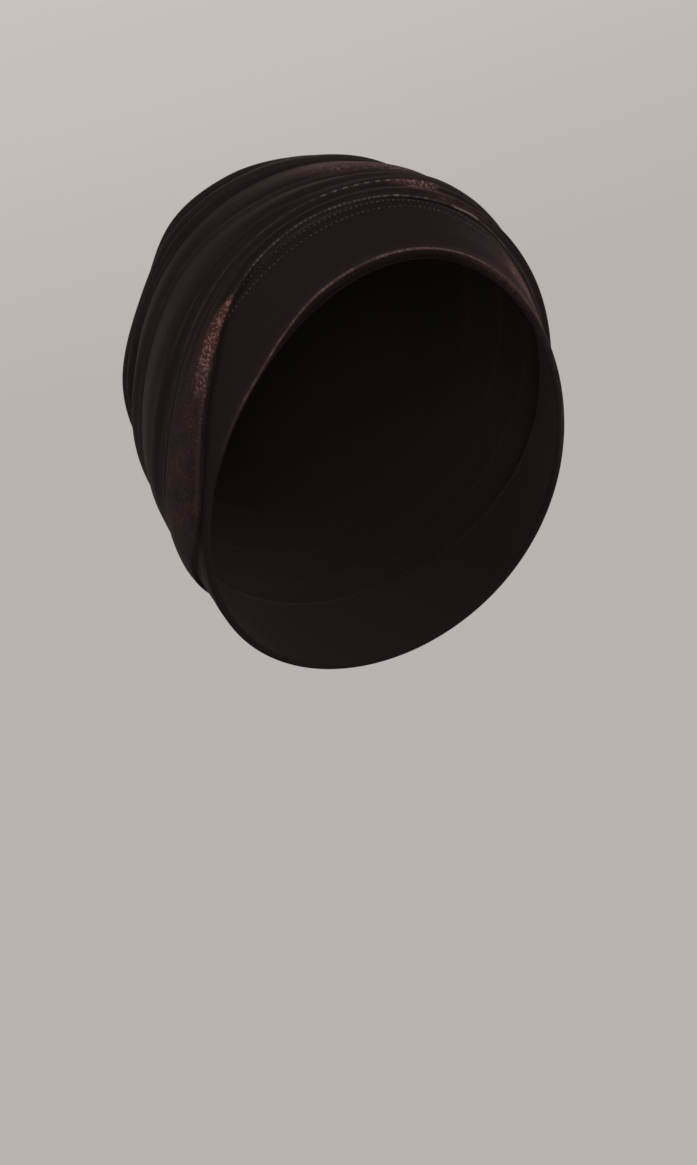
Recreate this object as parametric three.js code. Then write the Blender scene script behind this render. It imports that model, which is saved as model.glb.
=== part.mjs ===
// A slouchy stretch-velvet beanie, as worn: a smooth doubled band round the face and nape, and a
// crown whose spare length lies in soft pleats round the head, the lowest rolled over the band.
// Millimetres, +Z up. The origin is the centre of the rim; the brow looks along -Y.
import * as THREE from 'three';

// Driving dimensions
const RIM_TILT = 38;         // degrees: the rim slopes down from the brow to the nape
const CROWN_WALL = 1.2;      // stretch velvet with its pile
const BAND_WALL = 2.4;       // the same velvet folded double
const HEM_SWELL = 0.5;       // how far the stitched hem along the rim stands out of the band
const HEM_DEPTH = 6;         // the hem's own width
const HEM_STEP = 1;          // the run in which the hem falls back to the band's face
const EDGE_ROUND = 0.6;      // rounding of the hem's outer and inner corners
const SEAM = 30;             // the band's width, from the rim to the seam
const SEAM_GAP = 0.3;        // clearance between the band's upper edge and the crown
const SEAM_LIFT = 0.4;       // how far outside the band's face the crown starts
const FACETS_AROUND = 56;
const VELVET_BROWN = 0x2a1c1a;
const VELVET_ROUGHNESS = 0.85;

// The cloth's outer form without its pleats, square to the hat's own axis, one row for every
// SECTION_STEP of cloth from the rim to the closed end. rise is the height above the rim's plane,
// half_width the reach to each side, brow and nape the reach to the front and to the back, and taper
// how much narrower the oval is towards the brow than towards the nape.
const SECTION_STEP = 15;
const SECTIONS = [
  { rise: 0,     half_width: 75,   brow: 99,    nape: 99,    taper: 0.1 },
  { rise: 15,    half_width: 78.5, brow: 102.5, nape: 94,    taper: 0.08 },
  { rise: 30,    half_width: 81,   brow: 105,   nape: 89,    taper: 0.05 },
  { rise: 45,    half_width: 81,   brow: 104.5, nape: 86,    taper: 0.02 },
  { rise: 59.5,  half_width: 78.8, brow: 100,   nape: 83.5,  taper: 0.01 },
  { rise: 74,    half_width: 75,   brow: 93.5,  nape: 81,    taper: 0 },
  { rise: 88,    half_width: 72,   brow: 88,    nape: 77.5,  taper: 0 },
  { rise: 101,   half_width: 68.5, brow: 82.5,  nape: 72,    taper: 0 },
  { rise: 112,   half_width: 63,   brow: 75.5,  nape: 64.5,  taper: 0 },
  { rise: 120,   half_width: 55,   brow: 64.5,  nape: 54,    taper: 0 },
  { rise: 125.5, half_width: 43,   brow: 50.5,  nape: 40.5,  taper: 0 },
  { rise: 129,   half_width: 28,   brow: 33.5,  nape: 25,    taper: 0 },
  { rise: 130,   half_width: 0,    brow: 0,     nape: 0,     taper: 0 },
];
const CLOTH_LENGTH = SECTION_STEP * (SECTIONS.length - 1);

// Pleats of the crown, from the band to the closed end. Each list gives eight values round the head,
// 45 degrees apart: brow, brow and left, left, nape and left, nape, nape and right, right, brow and
// right. A list of sixteen has one more halfway between each two. crease is the cloth's distance from
// the rim to the foot of the pleat, foot is how far out that foot stands on the pleat below it, height
// is how far the pleat swells out, and overhang is how far its front edge hangs over what lies below
// it, or is set back from its foot where the number is negative.
const PLEATS = [
  {
    crease: [SEAM, SEAM, SEAM, SEAM, SEAM, SEAM, SEAM, SEAM],
    foot: [0, 0, 0, 0, 0, 0, 0, 0],
    height: [1.8, 3.0, 6.0, 4.0, 3.2, 2.0, 3.4, 2.6],
    overhang: [0.6, 1.8, 0, -1, -1, -1, -1, -0.8, -0.5, 2, 8, 17.5, 26, 17, 3.8, -1.2],
  },
  {
    crease: [37, 40, 46, 43, 42, 32, 23, 37.3],
    foot: [0.8, 0.8, 1, 0.8, 0.8, 1.2, 2.2, 0.8],
    height: [1.8, 2.2, 3.2, 2.4, 1.8, 1.4, 1.8, 1.6],
    overhang: [0.5, 0.5, 0.5, 0.5, 0.5, -0.3, -0.6, 0],
  },
  {
    crease: [50, 56, 62, 59, 57, 57, 60, 68.5],
    foot: [0.8, 0.6, 0.8, 0.8, 0.8, 0.8, 1, 0.8],
    height: [1.8, 1.4, 1.6, 2.0, 1.8, 2.0, 3.2, 1.4],
    overhang: [0.4, 0.4, 0.4, 0.4, 0.4, 0.4, 0.4, 0.2],
  },
  {
    crease: [84, 84, 84, 82, 80, 82, 86, 90],
    foot: [0.6, 0.6, 0.6, 0.6, 0.6, 0.8, 1.2, 1.4],
    height: [1.6, 1.6, 1.6, 1.6, 1.6, 2.6, 4.4, 4.4],
    overhang: [0, 0, 0, 0, 0, 0.2, 0.5, 0.5],
  },
  {
    crease: [108, 108, 106, 104, 104, 106, 108, 112],
    foot: [0.4, 0.4, 0.4, 0.4, 0.4, 0.4, 0.4, 0.4],
    height: [0.8, 0.9, 0.9, 0.9, 0.9, 0.9, 0.8, 4.8],
    overhang: [0, 0, 0, 0, 0, 0, 0, 0],
  },
];
const LAST_PLEAT_END = 140;  // where the cloth is smooth again
const OVERHANG_EASE = 0.3;   // how much lower the inner face lies for each millimetre of overhang
const INNER_RUN = 6;         // least run of the inner face from the seam to the second pleat

// How the cloth runs through one pleat. On its outer face, ahead is the share of the overhang, along
// is the share of the way from its crease to the next one, and out is the share of its height. The
// inner face has its own along and out. It stays behind an overhang, whose two layers lie together, and
// goes back with an edge that is set back.
const PLEAT_PROFILE = [
  { ahead: 0,    along: 0,    out: 0,    inner_along: 0.02, inner_out: 0 },
  { ahead: 0.5,  along: 0,    out: 0.1,  inner_along: 0.05, inner_out: 0.04 },
  { ahead: 0.92, along: 0.01, out: 0.24, inner_along: 0.09, inner_out: 0.15 },
  { ahead: 1,    along: 0.04, out: 0.55, inner_along: 0.13, inner_out: 0.42 },
  { ahead: 0.9,  along: 0.1,  out: 0.86, inner_along: 0.19, inner_out: 0.72 },
  { ahead: 0.6,  along: 0.24, out: 1,    inner_along: 0.3,  inner_out: 0.9 },
  { ahead: 0.25, along: 0.5,  out: 0.78, inner_along: 0.52, inner_out: 0.72 },
  { ahead: 0.05, along: 0.78, out: 0.34, inner_along: 0.79, inner_out: 0.3 },
];
const BAND_STEPS = 5;        // rings of facets from the hem to the seam
const CLOSING_STEPS = 4;     // rings of facets from the last pleat to the closed end

// A smooth curve between two values, bent by their neighbours on each side
function bend(before, start, end, after, share) {
  const square = share * share;
  const cube = square * share;
  return (2 * cube - 3 * square + 1) * start + (cube - 2 * square + share) * (end - before) / 2
    + (3 * square - 2 * cube) * end + (cube - square) * (after - start) / 2;
}

// One column of the sections table at a distance along the cloth
function columnAt(key, cloth) {
  const row = THREE.MathUtils.clamp(cloth, 0, CLOTH_LENGTH) / SECTION_STEP;
  const last = SECTIONS.length - 1;
  const first = Math.min(Math.floor(row), last - 1);
  const pick = (index) => SECTIONS[THREE.MathUtils.clamp(index, 0, last)][key];
  return bend(pick(first - 1), pick(first), pick(first + 1), pick(first + 2), row - first);
}

// A list of values round the head at a bearing
function roundAt(values, bearing) {
  const place = THREE.MathUtils.euclideanModulo(bearing / (2 * Math.PI), 1) * values.length;
  const first = Math.floor(place);
  const pick = (index) => values[(index + values.length) % values.length];
  return bend(pick(first - 1), pick(first), pick(first + 1), pick(first + 2), place - first);
}

// A point of the form at a distance along the cloth, a bearing round the head and a distance out of
// the form
function formPoint(cloth, bearing, outBy = 0) {
  const ahead = Math.cos(bearing);
  const reachKey = ahead > 0 ? 'brow' : 'nape';
  const at = (place, turn) => {
    const narrowing = 1 - columnAt('taper', place) * Math.cos(turn);
    const side = columnAt('half_width', place) * Math.sin(turn) * narrowing;
    return new THREE.Vector3(side, -columnAt(reachKey, place) * Math.cos(turn), columnAt('rise', place));
  };
  const step = 0.1;
  const turn = 0.01;
  const lower = THREE.MathUtils.clamp(cloth - step / 2, 0, CLOTH_LENGTH - 2 * step);
  const along = at(lower + step, bearing).sub(at(lower, bearing));
  const around = at(lower, bearing + turn).sub(at(lower, bearing - turn));
  return at(cloth, bearing).addScaledVector(around.cross(along).normalize(), outBy);
}

// One ring of points, from a function of the bearing
function ringOf(pointAt) {
  return Array.from({ length: FACETS_AROUND }, (_, facet) => pointAt(2 * Math.PI * facet / FACETS_AROUND));
}

// A closed mesh from rings of points. Each ring is joined to the next, and the last to the first
// unless poles close the two ends.
function skinRings(rings, startPole, endPole) {
  const positions = rings.flat().flatMap((point) => point.toArray());
  const triangles = [];
  const corner = (ring, facet) => (ring % rings.length) * FACETS_AROUND + facet % FACETS_AROUND;
  const joins = startPole ? rings.length - 1 : rings.length;
  for (let ring = 0; ring < joins; ring++) {
    for (let facet = 0; facet < FACETS_AROUND; facet++) {
      const [a, b] = [corner(ring, facet), corner(ring, facet + 1)];
      const [c, d] = [corner(ring + 1, facet + 1), corner(ring + 1, facet)];
      triangles.push(a, b, c, a, c, d);
    }
  }
  if (startPole) {
    const start = rings.length * FACETS_AROUND;
    positions.push(...startPole.toArray(), ...endPole.toArray());
    for (let facet = 0; facet < FACETS_AROUND; facet++) {
      triangles.push(start, corner(0, facet + 1), corner(0, facet));
      triangles.push(start + 1, corner(rings.length - 1, facet), corner(rings.length - 1, facet + 1));
    }
  }
  const geometry = new THREE.BufferGeometry();
  geometry.setAttribute('position', new THREE.Float32BufferAttribute(positions, 3));
  geometry.setIndex(triangles);
  geometry.computeVertexNormals();
  return geometry;
}

// The band: velvet folded double, with a rounded hem along the rim
function bandGeometry() {
  const outer = [
    ringOf((bearing) => formPoint(0, bearing, HEM_SWELL - EDGE_ROUND)),
    ringOf((bearing) => formPoint(EDGE_ROUND, bearing, HEM_SWELL)),
    ringOf((bearing) => formPoint(HEM_DEPTH - HEM_STEP, bearing, HEM_SWELL)),
  ];
  for (let step = 0; step <= BAND_STEPS; step++) {
    const cloth = HEM_DEPTH + (SEAM - HEM_DEPTH) * step / BAND_STEPS;
    outer.push(ringOf((bearing) => formPoint(cloth, bearing)));
  }
  const inner = [
    ringOf((bearing) => formPoint(0, bearing, EDGE_ROUND - BAND_WALL)),
    ringOf((bearing) => formPoint(EDGE_ROUND, bearing, -BAND_WALL)),
  ];
  for (let step = 1; step <= BAND_STEPS; step++) {
    const cloth = SEAM * step / BAND_STEPS;
    inner.push(ringOf((bearing) => formPoint(cloth, bearing, -BAND_WALL)));
  }
  return skinRings([...outer, ...inner.reverse()]);
}

// The two faces of the crown at a row of a pleat's profile
function pleatRings(pleat, next, row) {
  const { lerp } = THREE.MathUtils;
  const creaseAt = (fold, bearing) => (fold ? roundAt(fold.crease, bearing) + SEAM_GAP : LAST_PLEAT_END);
  const footAt = (fold, bearing) => (fold ? roundAt(fold.foot, bearing) : 0);
  const innerCreaseAt = (fold, bearing) => {
    const least = fold === PLEATS[0] ? SEAM : SEAM + INNER_RUN;
    return Math.max(creaseAt(fold, bearing), least + SEAM_GAP);
  };
  const outer = ringOf((bearing) => {
    const flat = lerp(creaseAt(pleat, bearing), creaseAt(next, bearing), row.along);
    const cloth = flat - roundAt(pleat.overhang, bearing) * row.ahead;
    const foot = lerp(footAt(pleat, bearing), footAt(next, bearing), row.along);
    return formPoint(cloth, bearing, SEAM_LIFT + foot + roundAt(pleat.height, bearing) * row.out);
  });
  const inner = ringOf((bearing) => {
    const flat = lerp(innerCreaseAt(pleat, bearing), innerCreaseAt(next, bearing), row.inner_along);
    const overhang = roundAt(pleat.overhang, bearing);
    const cloth = flat - Math.min(overhang, 0) * row.ahead;
    const ease = OVERHANG_EASE * Math.max(overhang, 0);
    const swell = Math.max(roundAt(pleat.height, bearing) - ease, 0) * row.inner_out;
    return formPoint(cloth, bearing, SEAM_LIFT - CROWN_WALL + swell);
  });
  return { outer, inner };
}

// The crown: one wall of velvet with its pleats, from the seam to the closed end
function crownGeometry() {
  const outer = [];
  const inner = [];
  PLEATS.forEach((pleat, place) => {
    for (const row of PLEAT_PROFILE) {
      const rings = pleatRings(pleat, PLEATS[place + 1], row);
      outer.push(rings.outer);
      inner.push(rings.inner);
    }
  });
  for (let step = 0; step < CLOSING_STEPS; step++) {
    const cloth = LAST_PLEAT_END + (CLOTH_LENGTH - LAST_PLEAT_END) * step / CLOSING_STEPS;
    outer.push(ringOf((bearing) => formPoint(cloth, bearing, SEAM_LIFT)));
    inner.push(ringOf((bearing) => formPoint(cloth, bearing, SEAM_LIFT - CROWN_WALL)));
  }
  const outerPole = formPoint(CLOTH_LENGTH, 0).add(new THREE.Vector3(0, 0, SEAM_LIFT));
  const innerPole = outerPole.clone().setZ(outerPole.z - CROWN_WALL);
  return skinRings([...inner.reverse(), ...outer], innerPole, outerPole);
}

function makePiece(name, geometry) {
  const looks = { color: VELVET_BROWN, roughness: VELVET_ROUGHNESS, metalness: 0 };
  const velvet = new THREE.MeshStandardMaterial(looks);
  const piece = new THREE.Mesh(geometry, velvet);
  piece.name = name;
  return piece;
}

const hat = new THREE.Group();
hat.rotation.x = THREE.MathUtils.degToRad(-RIM_TILT);
hat.add(makePiece('band', bandGeometry()));
hat.add(makePiece('crown', crownGeometry()));

const part = new THREE.Group();
part.add(hat);
export default part;
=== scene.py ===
"""The looks of a slouchy stretch-velvet beanie, as worn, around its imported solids.

The band and the crown are made again from the sizes that the solids have, with finer folds, two rows of
stitches and a short pile. On the wearer's right some pleats are up to about 2 mm lower or higher than in
the solids, nearer to the photograph. Tables are in millimetres, the scene is in metres.
"""
import math

import bpy
import numpy as np
from mathutils import Matrix, Vector


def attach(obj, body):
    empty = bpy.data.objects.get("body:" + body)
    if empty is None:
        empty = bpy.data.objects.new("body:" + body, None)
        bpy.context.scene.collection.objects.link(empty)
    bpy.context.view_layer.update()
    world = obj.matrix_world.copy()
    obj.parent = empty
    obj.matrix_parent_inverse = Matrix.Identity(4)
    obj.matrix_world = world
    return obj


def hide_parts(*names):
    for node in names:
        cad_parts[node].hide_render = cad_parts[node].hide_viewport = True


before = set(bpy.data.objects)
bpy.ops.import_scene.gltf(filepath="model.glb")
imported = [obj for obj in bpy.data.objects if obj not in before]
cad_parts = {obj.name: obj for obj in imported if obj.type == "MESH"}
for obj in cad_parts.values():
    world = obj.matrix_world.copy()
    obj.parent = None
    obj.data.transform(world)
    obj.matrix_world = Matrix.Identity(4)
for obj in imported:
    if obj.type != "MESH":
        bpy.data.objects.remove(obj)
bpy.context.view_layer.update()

MM = 0.001

# Sizes of the hat that its solids share
RIM_TILT = math.radians(38)   # the rim slopes down from the brow to the nape
CROWN_WALL = 1.2
BAND_WALL = 2.4          # the same velvet folded double
HEM_SWELL = 0.5          # how far the hem stands out of the band
HEM_DEPTH = 6
SEAM = 30                # the band's width, from the rim to the seam
SEAM_GAP = 0.3
SEAM_LIFT = 0.4          # how far outside the band's face the crown starts
LAST_PLEAT_END = 140     # where the cloth is smooth again
OVERHANG_EASE = 0.3      # how much lower the inner face lies for each millimetre of overhang
INNER_RUN = 6            # least run of the inner face from the seam to the second pleat

# The cloth's outer form without its pleats, a row for every step of cloth from the rim to the closed end:
# the height over the rim, the reach to each side, to the brow and to the nape, and how much narrower the
# oval is towards the brow
SECTION_STEP = 15
SECTION_COLUMNS = ("rise", "half_width", "brow", "nape", "taper")
SECTIONS = (
    (0, 75, 99, 99, 0.1),
    (15, 78.5, 102.5, 94, 0.08),
    (30, 81, 105, 89, 0.05),
    (45, 81, 104.5, 86, 0.02),
    (59.5, 78.8, 100, 83.5, 0.01),
    (74, 75, 93.5, 81, 0),
    (88, 72, 88, 77.5, 0),
    (101, 68.5, 82.5, 72, 0),
    (112, 63, 75.5, 64.5, 0),
    (120, 55, 64.5, 54, 0),
    (125.5, 43, 50.5, 40.5, 0),
    (129, 28, 33.5, 25, 0),
    (130, 0, 0, 0, 0),
)
CLOTH_LENGTH = SECTION_STEP * (len(SECTIONS) - 1)
HEAD_RADIUS = 88         # of a circle as long as the rim
FAR_FROM_EDGE = 50       # the distance to a painted highlight edge that stands for none

# The crown's pleats. Each list has eight values round the head, 45 degrees apart: brow, brow and left,
# left, nape and left, nape, nape and right, right, brow and right, and a list of sixteen has one more
# halfway between each two. crease is the cloth's distance from the rim to the foot of the pleat, foot is how
# far out that stands, height is how far the pleat swells out, and overhang is how far its edge hangs over
# what lies below, or is set back from its foot. line is how light the painted sheen highlight is along the
# pleat's edge, where the pile lies open, edge is the share of the pleat where that is, on the lowest pleat
# in places down on its front where it lightens painted shade, and soft is how gently the pleat rises out of
# its crease.
PLEATS = (
    {
        "crease": [SEAM] * 8,
        "foot": [0] * 8,
        "height": [1.8, 2.2, 3, 4.7, 6, 5.2, 4, 3.5, 3.2, 2.2, 0.4, 2.4, 3.4, 3.2, 2.6, 2.1],
        "overhang": [0.6, 1.8, 0, -1, -1, -1, -1, -0.8, -0.5, 2, 8, 17.5, 26, 17, 3.8, -1.2],
        "line": [0.16, 0.19, 0.22, 0.17, 0.12, 0.1, 0.1, 0.1, 0.1, 0.1, 0.1, 0.06, 0.04, 0.06, 0.2, 0.18],
        "soft": [0.6, 0.9, 1, 0.8, 0.6, 0.5, 0.7, 0.6],
        "edge": [0.27, 0.33, 0.1, 0.2, 0.3, 0.3, 0.3, 0.3, 0.3, 0.3, 0.3, 0.32, 0.35, 0.38, 0.38, 0.27],
    },
    {
        "crease": [37, 40, 46, 43, 42, 32, 23, 37.3],
        "foot": [0.8, 0.8, 0.8, 0.9, 1, 0.9, 0.8, 0.8, 0.8, 0.7, 0.5, 0.6, 2.2, 1.6, 0.8, 0.7],
        "height": [1.8, 2, 2.2, 2.8, 3.2, 2.9, 2.4, 2.1, 1.8, 1.1, 0.3, 0.1, 1.6, 1.9, 1.6, 1.7],
        "overhang": [0.5, 0.5, 0.5, 0.5, 0.5, -0.3, -0.6, 0],
        "line": [0.14, 0.16, 0.1, 0.08, 0.08, 0.1, 0.22, 0.22],
        "soft": [0.5, 0.7, 0.8, 0.6, 0.5, 0.6, 0.7, 0.7],
        "edge": [0.38, 0.36, 0.36, 0.35, 0.3, 0.25, 0.16, 0.18],
    },
    {
        "crease": [50, 56, 62, 59, 57, 57, 60, 68.5],
        "foot": [0.8, 0.6, 0.8, 0.8, 0.8, 0.8, 1, 0.8],
        "height": [1.8, 1.4, 1.6, 2.0, 1.8, 2.0, 3.2, 1.4],
        "overhang": [0.4, 0.4, 0.4, 0.4, 0.4, 0.4, 0.4, 0.2],
        "line": [0.18, 0.1, 0.08, 0.08, 0.08, 0.1, 0.12, 0.16],
        "soft": [0.6, 0.7, 0.7, 0.6, 0.5, 0.6, 0.7, 0.7],
        "edge": [0.26, 0.3, 0.3, 0.3, 0.3, 0.3, 0.3, 0.33],
    },
    {
        "crease": [84, 84, 84, 82, 80, 82, 86, 90],
        "foot": [0.6, 0.6, 0.6, 0.6, 0.6, 0.8, 1.2, 1.4],
        "height": [1.6] * 9 + [1.9, 2.6, 4.3, 5.2, 3.0, 4.2, 3.0],
        "overhang": [0, 0, 0, 0, 0, 0.2, 0.5, 0.5],
        "line": [0.12, 0.08, 0.08, 0.08, 0.08, 0.08, 0.1, 0.13],
        "soft": [0.6, 0.6, 0.6, 0.6, 0.6, 0.6, 0.7, 0.7],
        "edge": [0.38] * 8,
    },
    {
        "crease": [108, 108, 106, 104, 104, 106, 108, 112],
        "foot": [0.4] * 8,
        "height": [0.8] + [0.9] * 11 + [0.8, 1.0, 4.6, 3.1],
        "overhang": [0] * 8,
        "line": [0.1, 0.08, 0.08, 0.08, 0.08, 0.1, 0.16, 0.16],
        "soft": [0.7] * 8,
        "edge": [0.38] * 8,
    },
)

# How the cloth runs through one pleat: shares of the overhang, of the way to the next crease and of the
# height on its outer face, the last two again where the pleat is soft, and again on its inner face
PROFILE_COLUMNS = ("ahead", "along", "out", "soft_along", "soft_out", "inner_along", "inner_out")
PLEAT_PROFILE = (
    (0, 0, 0, 0, 0, 0.02, 0),
    (0.5, 0, 0.1, 0.06, 0.12, 0.05, 0.04),
    (0.92, 0.01, 0.24, 0.13, 0.36, 0.09, 0.15),
    (1, 0.04, 0.55, 0.21, 0.66, 0.13, 0.42),
    (0.9, 0.1, 0.86, 0.3, 0.9, 0.19, 0.72),
    (0.6, 0.24, 1, 0.42, 1, 0.3, 0.9),
    (0.25, 0.5, 0.78, 0.6, 0.8, 0.52, 0.72),
    (0.05, 0.78, 0.34, 0.8, 0.36, 0.79, 0.3),
    (0, 1, 0, 1, 0, 1.02, 0),
)

# How finely the cloth is made
AROUND = 512
PLEAT_ROWS = 24
PLEAT_CLOTH = 18         # cloth in a pleat, roughly, which sets how close its streaks are
PLEAT_INNER_ROWS = 6
CLOSING_ROWS = 18
BAND_ROWS = 44
BAND_INNER_ROWS = 12
HEM_ROWS = 10

# In all that follows a span is a middle, half a width and the soft width beyond it, as window takes them.
# Round the head it is in degrees, along a pleat in shares of it, and along the band in millimetres.

# Small folds of the cloth. The folds of a table add up. height is in millimetres, finer is how many cells
# lie along one pleat, or along BAND_FOLD_CELL on the band, and around is how many lie round the head.
FOLD_COLUMNS = ("height", "finer", "around", "seed")
CROWN_FOLDS = (
    (0.3, 5, 9, 11),     # fine lines that run along the pleats
    (0.15, 11, 16, 12),
    (0.55, 2.2, 6, 13),  # softer folds between them
)
BAND_FOLDS = (
    (0.25, 1, 11, 21),
    (0.125, 2, 26, 22),
)
BAND_FOLD_CELL = 12
DEEPEST = -0.3           # the furthest that the crown's small folds reach into the wall
FOLDS_NEED = 0.8         # the height of a pleat from which they are whole
FRONT_END = 0.35         # share of a pleat up to which they stay low, and the share in which they then grow
FRONT_SOFT = 0.3
FRONT_FOLDS = 0.3        # how much of them shows on that front
CLOSING_FOLDS_IN = 0.25  # share of the closed end in which they come up again
CLOSING_PLEATS = 2       # as many pleats of cloth as the closed end counts for
LIP_SPAN = (0.2, 0.08, 0.12)  # the lowest pleat's lip, which lies on the band where it hangs over it
LIP_GAP = 0.1
SEWN_PLACE = 0.1         # the share of that pleat in which it comes down to the band where it is sewn on
SEWN_GAP = 0.04

# Short painted highlights along the edges of the lower pleats: on which pleat, plain or in beads or longer
# dashes, their span round the head, and how light they are
GLEAM_COLUMNS = ("pleat", "kind", "around", "light")
GLEAMS = (
    (0, "bead", (-17, 24, 5), 0.45),
    (0, "dash", (9, 7, 4), 0.75),
    (0, "line", (29, 3.5, 2), 3),
    (0, "line", (40, 5, 6), 0.4),
    (1, "dash", (-2, 10, 5), 0.9),
)
BEAD_PITCH = 2.1
DASH_PITCH = 4.6

# Painted sheen and glints where the pile lies open, some of it lightening the shade on a fold's face: on
# which pleat, its spans round the head and along the pleat, and how open it is, which is how strong that is
PATCH_COLUMNS = ("pleat", "around", "along", "open")
PATCHES = (
    (1, (15, 3, 6), (0.25, 0.13, 0.14), 1),
    (0, (17, 2, 6), (0.95, 0.07, 0.15), 0.8),
    (0, (29, 8, 10), (0.6, 0.15, 0.2), 0.13),
    (2, (9, 3, 20), (0.64, 0.08, 0.38), 0.85),
    (0, (-81, 12, 18), (0.55, 0.15, 0.2), 0.125),
)
WARM_SPAN = (47, 6, 8)   # on either side of the brow, where the painted sheen and glints are warmer in hue

# The roll on the wearer's right, in the lowest pleat: its strip of painted highlight and glints where the
# pile lies open, between two bearings in degrees, and the fold that ends the strip at the rear and runs on
# from it
ROLL_START = -45
ROLL_END = -68
ROLL_BRIGHTEST = 0.3     # the share of the way between them where the strip's painted highlight is strongest
ROLL_START_SOFT = 0.1    # shares of the way in which its painted highlight grows before its start, and fades from there on
ROLL_END_SOFT = 0.9
ROLL_FRONT = 0.35        # place of the strip's front in the pleat
ROLL_NARROW = 0.5        # how much of its width it has at its start, and how that grows along the way
ROLL_WIDENS = 2.5
ROLL_NARROWEST = 0.2
ROLL_WHOLE = 0.5         # the shares of half its width that are whole and that are soft
ROLL_SOFT = 0.75
ROLL_SOFT_LEAST = 0.02
REAR_FOLD_END = -112     # the bearing where the rear fold ends
REAR_FOLD_FROM = 0.58    # its place in the pleat where it starts and where it ends
REAR_FOLD_TO = 0.74
# how light the painted highlight line of the rear fold is
REAR_FOLD_LIGHT = 0.16
REAR_FOLD_SPAN = (0.5, 0.42, 0.1)  # where its painted highlight shows, in shares of its way

# Stitching on the band: where each row runs along the cloth, and where its first stitch is, in pitches
TWIN_ROWS = ((25.6, 0.25), (29.2, 0.7))
STITCH_PITCH = 2.1
STITCH_LENGTH = 1.25
STITCH_SIDES = 8
STITCH_STATIONS = 7
STITCH_POINT = 0.995     # how pointed its ends are, up to 1
STITCH_LIFT = 0.35       # how far its middle stands out and how much deeper its ends lie, in threads
STITCH_SINK = 0.5
STITCH_STEPS = 4000      # of the line that a row is measured along
STITCH_TURN = 0.005      # half the turn round the head over which a direction is taken
THREAD = 0.42            # thickness of the thread
THREAD_SHADES = (0.25, 1)
THREAD_SEED = 31
STITCH_DIP = 0.25        # how far a row of stitches draws the cloth in
STITCH_DIP_WIDTH = 0.9
PUCKER = 0.1             # height of the cloth's waves from stitch to stitch
PUCKER_WIDTH = 1.2

# The hem, its painted highlight line with painted shade below it, and painted sheen and glints on the band
HEM_SOFT = 0.5           # how softly the hem's swell ends
HEM_LIGHT = 0.42         # of the painted highlight line along the hem
HEM_LIGHT_AT = -0.4      # where it runs on the cloth, and how much higher it runs at the brow
HEM_LIGHT_RISE = 4.4
HEM_RAISED_SPAN = (17, 42, 30)
HEM_SEEN_SPAN = (12, 62, 30)       # where it shows
HEM_BEADS = 0.28         # painted highlight of the beads on that line
HEM_BEADS_SPAN = (5, 40, 20)
HEM_SHADE_SPAN = (-15, 45, 35)      # where the painted shade below the line is
HEM_SHEEN = 0.17          # how strong the painted sheen and glints are on the hem, and where
HEM_SHEEN_SPAN = (52, 20, 18)
HEM_SHEEN_ALONG = (1, 1, 2.5)
GLINT_SPAN = (51, 2, 8)  # a painted glint on the band
GLINT_ALONG = (19, 2, 7)
BAND_SIDE_SHEEN = 0.04    # how strong the painted sheen is around that
BAND_SIDE_SPAN = (45, 15, 25)

# The cloth's colours, painted highlights, painted shade and gloss
BAND_DARK = (0.0099, 0.0073, 0.0079)
CROWN_DARK = (0.009, 0.006, 0.0063)
HEM_SHADE_DARK = (0.0035, 0.0022, 0.002)  # painted shade under the light line of the hem
HEM_HIGHLIGHT = (0.15, 0.087, 0.086)        # painted highlight along the hem
FOLD_HIGHLIGHT = (0.115, 0.09, 0.085)       # painted highlight along an edge of a fold
SHEEN_PINK = (0.128, 0.072, 0.068)      # painted sheen and glints where the pile lies open
SHEEN_WARM = (0.142, 0.067, 0.05)       # and beside the brow
BACK_DARK = (0.0093, 0.0053, 0.006)
BACK_LIGHT = (0.0143, 0.0086, 0.0092)
THREAD_DARK = (0.009, 0.0068, 0.0067)
THREAD_LIGHT = (0.07, 0.054, 0.052)
SHEEN = 0.085
VELVET_GLOSS = {
    "Roughness": 0.8,
    "Specular IOR Level": 0.05,
    "Specular Tint": (0.95, 0.7, 0.64),
    "Sheen Weight": SHEEN,
    "Sheen Roughness": 0.35,
    "Sheen Tint": (0.5, 0.34, 0.32),
}
BACK_GLOSS = {
    "Roughness": 0.95,
    "Specular IOR Level": 0.05,
    "Sheen Weight": SHEEN,
    "Sheen Roughness": 0.6,
    "Sheen Tint": (0.4, 0.3, 0.28),
}
THREAD_GLOSS = {"Roughness": 0.5, "Specular IOR Level": 0.15}
VELVET_BUMP = {"Strength": 0.4, "Distance": 0.0003}
BACK_BUMP = {"Strength": 0.25, "Distance": 0.0002}

# The cloth's fine patterns and its painted highlights. A spread is the two ends of a pattern's range and
# what they become. Grains are in cells per metre, and streaks in cells per millimetre round the head and
# along the cloth.
LINE_CORE = 0.05                       # how far from its edge a painted highlight line is whole
HEM_LINE_REACH = 0.95                  # how far it reaches along the hem and along a fold
FOLD_LINE_REACH = 0.5
GLOW_REACH = 4                         # how far the faint painted glow beside it reaches
GLOW_LIGHT = 0.15
GLOW_MOST = 0.25                       # the light of a line up to which its glow grows
LINE_STREAKS = (0.25, 0.1)
LINE_SPREAD = (0.35, 0.62, 0.3, 1)
BEAD_SPREAD = (-0.3, 0.9, 0, 1)
DASH_SPREAD = (-0.1, 0.7, 0, 1)
STREAK_LIGHT = 0.105                   # of the fine streaks along the crown's pleats
STREAKS_FADE = (82, 100)               # where they fade, in millimetres along the cloth
CROWN_STREAKS = (0.015, 0.45)
CROWN_STREAK_SPREAD = (0.53, 0.74, 0, 1)
PILE_GRAIN = 1500
PILE_GRAIN_SPREAD = (0.5, 0.75, 0, 0.015)
SPARK_GRAIN = 1550
SPARK_POWER = 6                        # the higher, the fewer cells carry a painted glint
SPARK_LIGHT = 3.4
MOTTLE = {"scale": 150, "detail": 4, "roughness": 0.65}
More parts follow.
